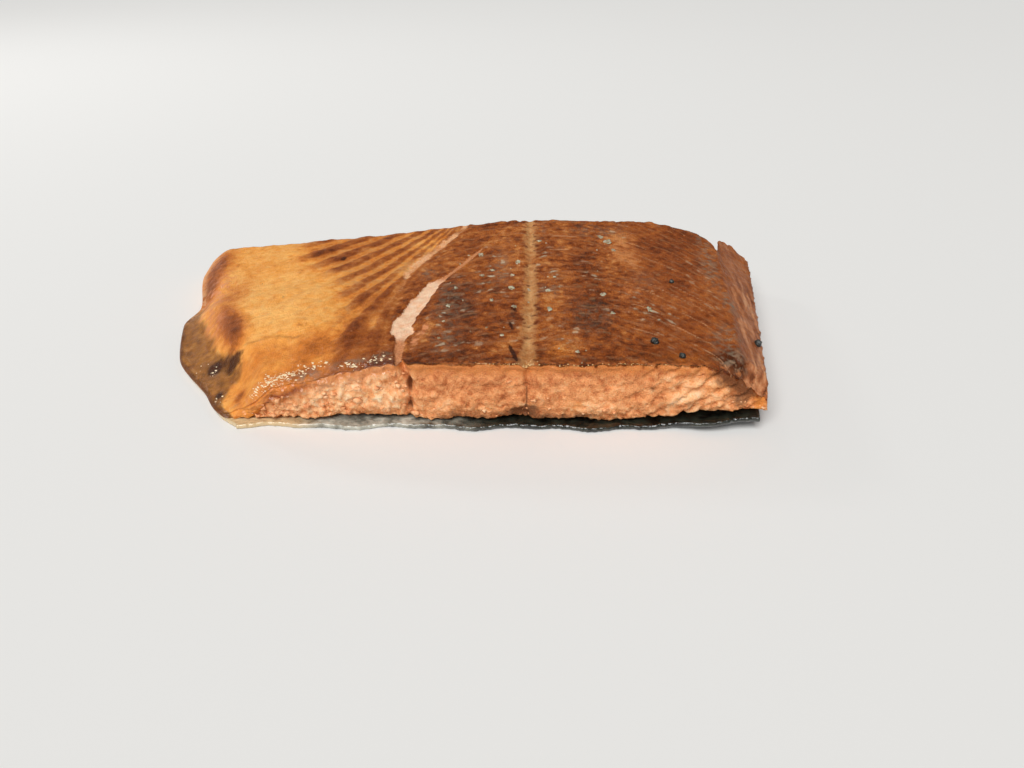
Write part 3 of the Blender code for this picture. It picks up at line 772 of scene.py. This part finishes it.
# Pale patches of the cut, and painted light on the crumbs that stand out with painted shade between them.
pale_patches_and_crumb_light = patches(x, z, CUT_PALE_PATCHES) + 0.9 * (crumbs - MEAN_CRUMB)
store(flesh_mesh, "tones", smoke, redder, patches(x, y, GREY_AND_SHEEN_PATCHES))
store(flesh_mesh, "marks", open_gape, np.abs(x - along(SPINE_LINE, y)), patches(x, y, DARK_SPOTS_AND_CRACK_SHADE))
store(flesh_mesh, "lines", inside_upper_gape(x, y), patches(x, y, FLECK_AND_GLINT_PATCHES), belly_rim)
store(flesh_mesh, "blend", contrast, amber, ease(17, 22, y) * ease(66, 62, y))
store(flesh_mesh, "state", cut_depth, wet, flap)
store(flesh_mesh, "grain", across_fibres, x, strip)
store(flesh_mesh, "edges", flap_rim, patches(x, y, BELLY_PINK_PATCHES), front_band)
store(flesh_mesh, "arcs", arcs)
store(flesh_mesh, "creases", lip_line, 0.5 * belly_crease, patches(x, y, RAW_PATCHES))
cut_stains_and_crack_shade = [patches(x, z, listed) for listed in (CUT_BROWN_AND_CRACK_SHADE_PATCHES, CUT_ORANGE_PATCHES)]
store(flesh_mesh, "cut_tones", *cut_stains_and_crack_shade, pale_patches_and_crumb_light)
flesh_mesh.shade_smooth()


def product(first, second):
    return add_node(first.id_data, "Math", {0: first, 1: second}, operation="MULTIPLY").outputs[0]


def make_speckle_group():
    """Cloudy and fine unevenness at a given size, for flesh that isn't evenly coloured anywhere."""
    group = bpy.data.node_groups.new("speckle", "ShaderNodeTree")
    for name, way in (("Vector", "INPUT"), ("Scale", "INPUT"), ("Clouds", "OUTPUT"), ("Grains", "OUTPUT")):
        kind = "NodeSocketVector" if name == "Vector" else "NodeSocketFloat"
        group.interface.new_socket(name, in_out=way, socket_type=kind)
    given = group.nodes.new("NodeGroupInput").outputs
    taken = group.nodes.new("NodeGroupOutput")
    for name, finer, detail in (("Clouds", 1.0, 3.0), ("Grains", 4.3, 2.0)):
        noises = {"Vector": given["Vector"], "Scale": product(given["Scale"], finer), "Detail": detail}
        fill(taken, {name: add_node(group, "TexNoise", noises).outputs["Fac"]})
    return group


def speckle(vector, scale):
    """The clouds and the grains of the speckle group at this scale."""
    inputs = {"Vector": vector, "Scale": scale}
    made = add_node(vector.id_data, "Group", inputs, node_tree=speckle_group)
    return made.outputs["Clouds"], made.outputs["Grains"]


def stretched(vector, *factors):
    return add_node(vector.id_data, "Mapping", {"Vector": vector, "Scale": factors}).outputs["Vector"]


def sum_of(*terms, plus=0.0):
    """Adds up (factor, output) terms, and a plain number."""
    total = plus
    for factor, output in terms:
        inputs = {0: output, 1: factor, 2: total}
        total = add_node(output.id_data, "Math", inputs, operation="MULTIPLY_ADD").outputs[0]
    return total


def step_between(value, low, high):
    """0 at low and 1 at high, smooth between. Low may be above high."""
    inputs = {"Value": value, "From Min": min(low, high), "From Max": max(low, high)}
    if low > high:
        inputs.update({"To Min": 1.0, "To Max": 0.0})
    made = add_node(value.id_data, "MapRange", inputs, interpolation_type="SMOOTHSTEP")
    return made.outputs["Result"]


def lay_over(below, over, amount, strength):
    """The colour below with another over it, by the amount times the strength."""
    return blend_colour(product(amount, strength), below, over)


speckle_group = make_speckle_group()
flesh_material, tree, shader = new_material("smoked_flesh")
where = add_node(tree, "TexCoord").outputs["Object"]
tones, marks, lines = read(tree, "tones"), read(tree, "marks"), read(tree, "lines")
state, blend, cut_tones = read(tree, "state"), read(tree, "blend"), read(tree, "cut_tones")
edges, creases = read(tree, "edges"), read(tree, "creases")
grain = add_node(tree, "Attribute", attribute_name="grain").outputs["Vector"]
grain_parts = add_node(tree, "SeparateXYZ", {"Vector": grain}).outputs
fibre_clouds, fibre_grains = speckle(stretched(grain, 1.0, 0.85, 0.0), 0.42)
strip_clouds, _ = speckle(stretched(where, 1.0, 0.14, 1.0), 500.0)
blotch_clouds, blotch_grains = speckle(where, 80.0)
pit_clouds, pit_grains = speckle(where, 480.0)

# The smoked pellicle: amber to dark brown, in streaks along the fibres and in fine grains.
unevenness = sum_of(
    (0.6, fibre_clouds), (0.6, fibre_grains), (0.95, blotch_clouds), (1.2, blotch_grains),
    (0.7, pit_clouds), (0.5, pit_grains), plus=-2.275,
)
smoke_tone = sum_of((1.0, tones["X"]), (1.0, product(unevenness, blend["X"])))
amber_colour = colour_scale(
    smoke_tone, (0.0, (252, 188, 106)), (0.16, (240, 160, 74)), (0.34, (214, 126, 50)),
    (0.55, (162, 88, 32)), (0.85, (104, 52, 20)),
)
brown_colour = colour_scale(
    smoke_tone, (0.16, (206, 138, 78)), (0.38, (173, 97, 41)), (0.58, (139, 69, 25)),
    (0.78, (103, 47, 15)), (1.0, (64, 30, 10)),
)
amber_edge = sum_of((1.0, blend["Y"]), (0.9, blotch_grains), (0.6, pit_clouds), plus=-0.75)
colour = blend_colour(step_between(amber_edge, 0.15, 0.85), brown_colour, amber_colour)
red_colour = colour_scale(smoke_tone, (0.0, (204, 118, 70)), (0.35, (160, 84, 42)), (1.0, (84, 38, 18)))
colour = lay_over(colour, red_colour, tones["Y"], 0.75)
# In part painted sheen: grey patches where the wet top reflects the room.
grey_and_sheen_amount = product(tones["Z"], step_between(pit_clouds, 0.40, 0.62))
colour = lay_over(colour, linear(142, 120, 98), grey_and_sheen_amount, 0.8)

# Fine pale lines between the muscle segments of the back, and flecks that are in part dried fat and juice, in
# part painted glints.
bands = {"Vector": grain, "Scale": 0.046, "Distortion": 6.5, "Detail": 2.0, "Detail Scale": 1.1}
stroke_waves = add_node(tree, "TexWave", bands, bands_direction="X").outputs["Fac"]
stroke_parts = step_between(sum_of((1.0, pit_clouds), (1.0, blotch_grains)), 0.88, 1.18)
stroke_amount = product(step_between(stroke_waves, 0.72, 1.0), stroke_parts)
stroke_amount = product(stroke_amount, step_between(grain_parts["Y"], -34.0, -20.0))
colour = lay_over(colour, linear(208, 148, 100), stroke_amount, 0.26)
arc_edge = sum_of((1.0, read(tree, "arcs")["X"]), (0.5, pit_clouds), plus=-0.25)
colour = lay_over(colour, linear(214, 160, 116), step_between(arc_edge, 0.64, 1.0), 0.55)
fleck_inputs = {"Vector": stretched(grain, 1.0, 0.62, 0.0), "Scale": 0.34}
fleck_cells = add_node(tree, "TexVoronoi", fleck_inputs).outputs
fleck_choice = add_node(tree, "SeparateXYZ", {"Vector": fleck_cells["Color"]}).outputs["X"]
fleck_edge = sum_of((1.0, fleck_cells["Distance"]), (1.0, pit_clouds), (1.2, blotch_grains), plus=-1.1)
fleck_chosen = product(step_between(fleck_choice, 0.25, 0.70), lines["Y"])
fleck_and_glint_halo = product(step_between(fleck_edge, 0.50, 0.20), fleck_chosen)
fleck_and_glint_core = product(step_between(fleck_edge, 0.26, 0.06), fleck_chosen)
# Flecks: in part dried fat and juice, in part painted glints on the wet top.
colour = lay_over(colour, linear(132, 112, 88), fleck_and_glint_halo, 0.60)
colour = lay_over(colour, linear(206, 196, 168), fleck_and_glint_core, 0.85)

# The streaks of the belly, the front band, the flap, the torn strip, the dark spots with the painted shade of
# three thin cracks by the spine line, and the belly's rim.
pink_streaks = step_between(sum_of((1.0, fibre_clouds), (0.6, blotch_grains)), 0.70, 0.96)
colour = lay_over(colour, linear(222, 146, 104), product(edges["Y"], pink_streaks), 0.8)
band_parts = step_between(sum_of((1.0, pit_clouds), (0.5, blotch_grains)), 0.66, 0.84)
colour = lay_over(colour, linear(200, 112, 52), product(edges["Z"], band_parts), 0.75)
flap_clouds = sum_of((0.7, blotch_grains), (0.5, blotch_clouds), (0.3, pit_clouds), plus=-0.25)
flap_colour = colour_scale(
    flap_clouds, (0.34, (92, 46, 16)), (0.46, (128, 78, 33)), (0.56, (154, 101, 46)), (0.70, (184, 132, 70))
)
colour = lay_over(colour, flap_colour, state["Z"], 0.88)
colour = lay_over(colour, linear(92, 50, 28), edges["X"], 0.75)
strip_tone = sum_of((1.2, strip_clouds), (0.4, blotch_grains), plus=-0.3)
strip_colour = colour_scale(
    strip_tone, (0.22, (116, 62, 34)), (0.42, (158, 94, 58)), (0.58, (192, 124, 82)), (0.80, (226, 164, 118))
)
colour = lay_over(colour, strip_colour, grain_parts["Z"], 0.9)
# Dark spots, and painted shade in three thin cracks by the spine line.
dark_spot_and_crack_shade_edge = sum_of((1.0, marks["Z"]), (0.5, pit_clouds), (1.2, blotch_grains), plus=-0.85)
colour = lay_over(colour, linear(58, 26, 14), step_between(dark_spot_and_crack_shade_edge, 0.15, 0.85), 0.92)
rim_amount = product(lines["Z"], step_between(pit_clouds, 0.40, 0.58))
colour = lay_over(colour, linear(226, 172, 124), rim_amount, 0.6)

# The groove over the spine, and the gapes that show the flesh inside.
spine_edge = sum_of((1.0, marks["Y"]), (2.0, pit_clouds), (8.0, blotch_grains), plus=-5.0)
spine_parts = step_between(blotch_clouds, 0.26, 0.46)
spine_amount = product(step_between(spine_edge, 3.2, 0.8), spine_parts)
spine_colour = colour_scale(blotch_grains, (0.35, (180, 118, 66)), (0.65, (228, 174, 114)))
colour = lay_over(colour, spine_colour, spine_amount, 0.85)
upper_edge = sum_of((1.0, lines["X"]), (2.4, pit_clouds), (2.0, blotch_grains), plus=-2.2)
upper_parts = step_between(blotch_clouds, 0.36, 0.5)
upper_amount = product(step_between(upper_edge, -0.4, 0.7), upper_parts)
upper_colour = colour_scale(pit_grains, (0.35, (222, 140, 84)), (0.58, (252, 200, 150)))
colour = lay_over(colour, upper_colour, upper_amount, 0.9)
raw_edge = sum_of((1.0, creases["Z"]), (1.4, pit_clouds), (1.2, fibre_clouds), plus=-1.3)
raw_colour = colour_scale(pit_clouds, (0.35, (176, 98, 54)), (0.62, (232, 154, 104)))
colour = lay_over(colour, raw_colour, step_between(raw_edge, 0.30, 0.90), 0.85)
gape_edge = sum_of((1.0, marks["X"]), (1.4, pit_grains), plus=-0.7)
fresh_colour = colour_scale(fibre_clouds, (0.3, (246, 188, 146)), (0.7, (255, 220, 186)))
dried_colour = colour_scale(pit_grains, (0.3, (180, 108, 66)), (0.7, (226, 156, 106)))
gape_colour = blend_colour(blend["Z"], dried_colour, fresh_colour)
colour = blend_colour(step_between(gape_edge, -0.15, 0.2), colour, gape_colour)

# The cuts: pink and crumbly, with painted light on the crumbs that stand out and painted shade between them,
# and stained amber by the top.
cut_unevenness = sum_of((0.7, pit_clouds), (0.45, pit_grains), (0.5, blotch_grains), plus=-0.825)
cut_tone = sum_of((0.36, cut_tones["Z"]), (0.85, cut_unevenness), plus=0.51)
cut_colour = colour_scale(
    cut_tone, (0.0, (116, 58, 30)), (0.22, (190, 110, 64)), (0.45, (236, 160, 104)),
    (0.68, (252, 194, 142)), (1.0, (255, 224, 184)),
)
stain = sum_of((-1.0, state["X"]), (6.0, blotch_grains), (3.0, pit_clouds))
cut_colour = lay_over(cut_colour, linear(206, 124, 62), step_between(stain, -0.3, 3.6), 0.75)
cut_colour = lay_over(cut_colour, linear(226, 140, 62), cut_tones["Y"], 0.8)
# Brown stains, a darker brown along the bottom, and painted shade in the crack under the gape.
brown_and_crack_shade_edge = sum_of((1.0, cut_tones["X"]), (0.9, pit_clouds), (0.6, blotch_grains), plus=-0.75)
cut_colour = lay_over(cut_colour, linear(104, 60, 36), step_between(brown_and_crack_shade_edge, 0.15, 0.85), 0.9)
cut_edge = sum_of((1.0, state["X"]), (2.6, pit_clouds), (3.0, blotch_grains), plus=-2.8)
cut_amount = step_between(cut_edge, -0.1, 0.5)
colour = blend_colour(cut_amount, colour, cut_colour)
colour = lay_over(colour, linear(132, 58, 24), creases["X"], 0.8)
colour = blend_colour(creases["Y"], colour, linear(146, 76, 30))

pellicle_height = sum_of((0.25, fibre_grains), (0.6, pit_clouds), (0.5, pit_grains))
cut_height = sum_of((0.6, pit_clouds), (0.9, pit_grains))
height = add_node(tree, "Mix", {0: cut_amount, 2: pellicle_height, 3: cut_height}).outputs[0]
ripples = add_node(tree, "TexNoise", {"Vector": where, "Scale": 480.0, "Detail": 3.0}).outputs["Fac"]
roughness = sum_of((0.5, pit_clouds), (-0.2, state["Y"]), (0.15, cut_amount), plus=0.24)
coat_inputs = {0: state["Y"], 1: 0.75, 2: 0.05}
coat = add_node(tree, "Math", coat_inputs, operation="MULTIPLY_ADD", use_clamp=True).outputs[0]
fill(shader, {"Base Color": colour, "Roughness": roughness, "Coat Weight": coat})
fill(shader, {"Normal": relief(height, 0.7, 0.0009), "Coat Normal": relief(ripples, 0.8, 0.0012)})
fill(shader, {"Coat Roughness": 0.04, "Specular IOR Level": 0.08})
fill(shader, {"Subsurface Weight": 0.12, "Subsurface Radius": (1.0, 0.4, 0.2), "Subsurface Scale": 0.0015})
flesh = link_object("smoked_fillet", flesh_mesh, flesh_material)
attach(flesh, "root")
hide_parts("flesh")

# ---- Pepper ----
# Four cracked black peppercorns from the cure, three on the top and one on the torn strip. Each is a
# rough, nearly black piece, stuck in the dried surface by its lower third.
PEPPER_GRAINS = ((49, 16, 1.3), (56, 7, 1.0), (61.5, 60, 0.8), (84.5, 25, 1.2))
PEPPER_PROUD = 0.35
PEPPER_UNEVEN = 0.35


def lumpy_balls(name, listed, unevenness, subdivisions):
    """One mesh of uneven balls. Each is given by its middle, its three radii and a seed."""
    balls = bmesh.new()
    for middle, radii, seed in listed:
        made = bmesh.ops.create_icosphere(balls, subdivisions=subdivisions, radius=1.0)["verts"]
        for vertex in made:
            shift = Vector((seed, 2.7 * seed, -1.3 * seed))
            size = 1 + unevenness * noise.fractal(vertex.co / 0.8 + shift, 0.9, 2.1, 3)
            at = [m + size * r * c for m, r, c in zip(middle, radii, vertex.co)]
            at = (at[0] - FOOTPRINT_MIDDLE_X, at[1] - FOOTPRINT_MIDDLE_Y, at[2])
            vertex.co = [min(max(a * MM, low), high) for a, low, high in zip(at, solid_low, solid_high)]
    mesh = bpy.data.meshes.new(name)
    balls.to_mesh(mesh)
    balls.free()
    mesh.shade_smooth()
    return mesh


def top_at(x, y):
    return float(flesh_top(np.array([float(x)]), np.array([float(y)]))[0])


def speckled_material(name, scale, roughness, *stops):
    """A material in clouds of these colours, with its shader and the grains of its speckle."""
    material, tree, shader = new_material(name)
    clouds, grains = speckle(add_node(tree, "TexCoord").outputs["Object"], scale)
    fill(shader, {"Base Color": colour_scale(clouds, *stops), "Roughness": roughness})
    return material, shader, grains


peppercorns = [
    ((x, y, top_at(x, y) + PEPPER_PROUD * radius), (radius, radius, radius), seed)
    for seed, (x, y, radius) in enumerate(PEPPER_GRAINS)
]
pepper_stops = ((0.35, (22, 24, 24)), (0.6, (52, 54, 50)), (0.8, (110, 108, 92)))
pepper_material, *_ = speckled_material("black_pepper", 900.0, 0.45, *pepper_stops)
pepper_mesh = lumpy_balls("pepper_surface", peppercorns, PEPPER_UNEVEN, 4)
pepper = link_object("pepper_grains", pepper_mesh, pepper_material)
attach(pepper, "root")
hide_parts("flesh")

# ---- Albumin ----
# Specks of white protein that was squeezed out while the fish cooked, and set on the top on both sides of
# the spine line. They are soft flat blobs, mottled from white to a greyish brown.
ALBUMIN_SPECKS = (  # x, y, and the half width and half length of each
    (42.5, 97, 1.5, 1.7), (40.4, 101, 0.9, 1.3), (5.2, 40.7, 0.7, 1.2), (10.4, 53.9, 0.5, 0.8),
    (-2.5, 45.4, 0.6, 0.8), (-6.7, 86, 0.9, 1.2), (36.1, 50.2, 0.8, 1.2), (38, 35.3, 0.7, 1),
    (50.4, 38.8, 0.6, 1.5), (5, 66, 0.8, 1.3), (7, 77, 0.8, 1.4), (4.5, 55, 0.9, 1.3), (-2, 71, 0.8, 0.9),
    (-6, 66, 0.7, 0.9), (17, 52, 0.7, 1), (20, 63, 0.5, 0.8), (-17, 42, 0.6, 0.9), (-18, 31, 0.5, 0.8),
    (-19, 19, 0.5, 0.8), (-15, 56, 0.6, 0.8), (24, 10, 0.6, 0.8), (1, 21, 0.6, 0.7), (44, 88, 0.7, 1.1),
    (16, 96, 0.8, 1), (17, 38, 0.7, 1.1),
)
ALBUMIN_HEIGHT = 0.15
ALBUMIN_UNEVEN = 0.9
STRAY_SPECKS = 20
STRAY_REACH = 16.0  # millimetres to either side of the named specks
STRAY_RADII = (0.15, 0.34)
rng = np.random.default_rng(7)
specks = [
    ((x, y, top_at(x, y) + 0.02), (half_width, half_length, ALBUMIN_HEIGHT), 100 + seed)
    for seed, (x, y, half_width, half_length) in enumerate(ALBUMIN_SPECKS)
]
for seed in range(STRAY_SPECKS):
    from_x, from_y = ALBUMIN_SPECKS[rng.integers(len(ALBUMIN_SPECKS))][:2]
    x = float(np.clip(from_x + rng.normal() * STRAY_REACH / 2, -24, 66))
    y = float(np.clip(from_y + rng.normal() * STRAY_REACH / 2, 3, 100))
    radius = rng.uniform(*STRAY_RADII)
    specks.append(((x, y, top_at(x, y)), (radius, radius * 1.5, 0.16), 200 + seed))
albumin_stops = ((0.38, (146, 124, 94)), (0.64, (214, 204, 176)))
albumin_material, shader, _ = speckled_material("set_albumin", 700.0, 0.35, *albumin_stops)
fill(shader, {"Subsurface Weight": 0.3, "Subsurface Scale": 0.001})
albumin_mesh = lumpy_balls("albumin_surface", specks, ALBUMIN_UNEVEN, 4)
albumin = link_object("albumin_specks", albumin_mesh, albumin_material)
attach(albumin, "root")

# ---- Crumbs ----
# Loose crumbs of cooked flesh, torn up by the knife and left sticking to both cuts, most of them low down
# and towards the belly. Each is a rough pale pink piece, half sunk in the cut.
CRUMBS_ON_EACH_CUT = 90
CRUMB_RADII = (0.22, 0.80)
CRUMB_UNEVEN = 1.1
crumb_pieces = []
for side, outward in ((on_front, -1), (on_back, 1)):
    choice = np.flatnonzero(side & (below_top > 2.5) & (up > 0.02))
    weight = 0.25 + ease(13, 4, z_of_mesh[choice]) + 1.2 * ease(-20, -45, x_of_mesh[choice])
    for number in rng.choice(choice, CRUMBS_ON_EACH_CUT, replace=False, p=weight / weight.sum()):
        radius = CRUMB_RADII[0] + (CRUMB_RADII[1] - CRUMB_RADII[0]) * rng.random() ** 2.5
        middle = (x_of_mesh[number], y_of_mesh[number] + outward * 0.25 * radius, z_of_mesh[number])
        radii = (radius * rng.uniform(1.0, 1.5), radius, radius * 0.9)
        crumb_pieces.append((middle, radii, 300 + len(crumb_pieces)))
crumb_stops = ((0.35, (218, 140, 90)), (0.5, (240, 174, 122)), (0.68, (252, 206, 160)))
crumb_material, shader, grains = speckled_material("crumb_of_flesh", 300.0, 0.7, *crumb_stops)
fill(shader, {"Normal": relief(grains, 0.6, 0.0004), "Specular IOR Level": 0.25})
crumb_mesh = lumpy_balls("crumb_surface", crumb_pieces, CRUMB_UNEVEN, 2)
loose_crumbs = link_object("loose_crumbs", crumb_mesh, crumb_material)
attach(loose_crumbs, "root")

# ---- Oil ----
# Beads of oil, painted pale as glints, that seeped out while the fish was smoked, along the lip of the belly,
# on the flap and
# along the front edge of the top. Each is a low lens that stands on the surface.
OIL_BEADS = 360
OIL_RADII = (0.10, 0.42)
OIL_HEIGHT = 0.35
LIP_ENDS_X = -30.0  # the beads are smaller along the edge beyond
OIL_RADIUS_ALONG_EDGE = 0.19
OIL_BAND = 9.0  # millimetres from the front edge
OIL_BAND_ON_FLAP = 36.0
OIL_TURNS_GOLDEN = (-0.030, -0.018)  # metres from the footprint's middle
OIL_UNEVEN = 0.3
OILY_PATCHES = (  # x, y, half width, half length, how much, and any turn in degrees
    (-69, 4, 6, 2.2, 1, 8), (-61, 5.5, 5, 2, 0.55, 20), (-73, 3, 3, 1.2, 0.9), (-45, 3.5, 4, 1.8, 0.35),
    (-36, 5, 4, 2, 0.28, 10), (-94.2, 23, 1.8, 3, 0.55), (-89, 8.5, 1.2, 2, 0.5), (-99, 27, 2, 3, 0.25),
    (-54, 6, 4, 2, 0.2), (-5, 1, 5, 0.8, 0.16), (9, 1.2, 4, 1.5, 0.45), (22, 1, 6, 0.8, 0.4),
    (40, 1, 10, 0.8, 0.25), (4, 1, 8, 0.9, 0.3), (56, 8, 1.5, 2, 0.1),
)
oily = (y_of_mesh - front < OIL_BAND) | ((x_of_mesh < -84) & (y_of_mesh < OIL_BAND_ON_FLAP))
on_top = np.flatnonzero((up > 0.999) & oily & (x_of_mesh > -104) & (x_of_mesh < 66))
weight = 1e-4 + patches(x_of_mesh[on_top], y_of_mesh[on_top] - front[on_top] + 0.5, OILY_PATCHES)
beads = []
for number in rng.choice(on_top, OIL_BEADS, replace=False, p=weight / weight.sum()):
    radius = OIL_RADII[0] + (OIL_RADII[1] - OIL_RADII[0]) * rng.random() ** 1.8
    radius = min(radius, OIL_RADIUS_ALONG_EDGE) if x_of_mesh[number] > LIP_ENDS_X else radius
    middle = (x_of_mesh[number], y_of_mesh[number], z_of_mesh[number])
    beads.append((middle, (radius * rng.uniform(1, 1.6), radius, radius * OIL_HEIGHT), 900 + len(beads)))
oil_material, tree, shader = new_material("oil_with_painted_glints")
where = add_node(tree, "TexCoord").outputs["Object"]
from_lip = add_node(tree, "SeparateXYZ", {"Vector": where}).outputs["X"]
along_edge = step_between(from_lip, *OIL_TURNS_GOLDEN)
# Painted glints: the beads are near white along the belly's lip and golden along the front edge.
oil_and_glint_colour = blend_colour(along_edge, linear(255, 232, 190), linear(250, 204, 136))
fill(shader, {"Base Color": oil_and_glint_colour, "Roughness": 0.05, "Coat Weight": 1.0, "Coat Roughness": 0.03})
oil = link_object("oil_beads", lumpy_balls("oil_surface", beads, OIL_UNEVEN, 2), oil_material)
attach(oil, "root")
